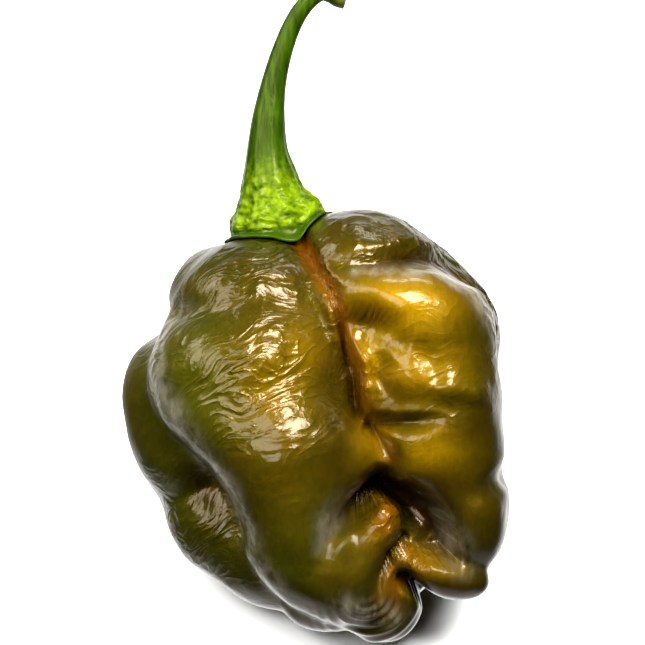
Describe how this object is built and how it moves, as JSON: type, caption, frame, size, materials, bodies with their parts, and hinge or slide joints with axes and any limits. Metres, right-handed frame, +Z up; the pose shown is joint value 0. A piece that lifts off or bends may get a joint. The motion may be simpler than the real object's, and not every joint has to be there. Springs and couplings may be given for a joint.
{
  "type": "chilli pepper",
  "caption": "Squat, deeply lobed and folded chilli pepper with a blunt tail and a bent stalk that flares into a crinkled cap, lying on its lobes.",
  "frame": {"origin": "middle of the underside of the part's bounds, on the surface it lies on", "axes": "+Z up, -Y towards the front with the deep creases, +X to the right seen from the front"},
  "size_m": [0.0432, 0.0506, 0.0602],
  "materials": {
    "pod_skin": "waxy, olive brown with golden brown sides and orange creases",
    "stalk": "satin, green, yellow-green on the crinkled cap"
  },
  "bodies": {
    "root": {"pod": "pod_skin", "stem": "stalk"}
  },
  "joints": []
}
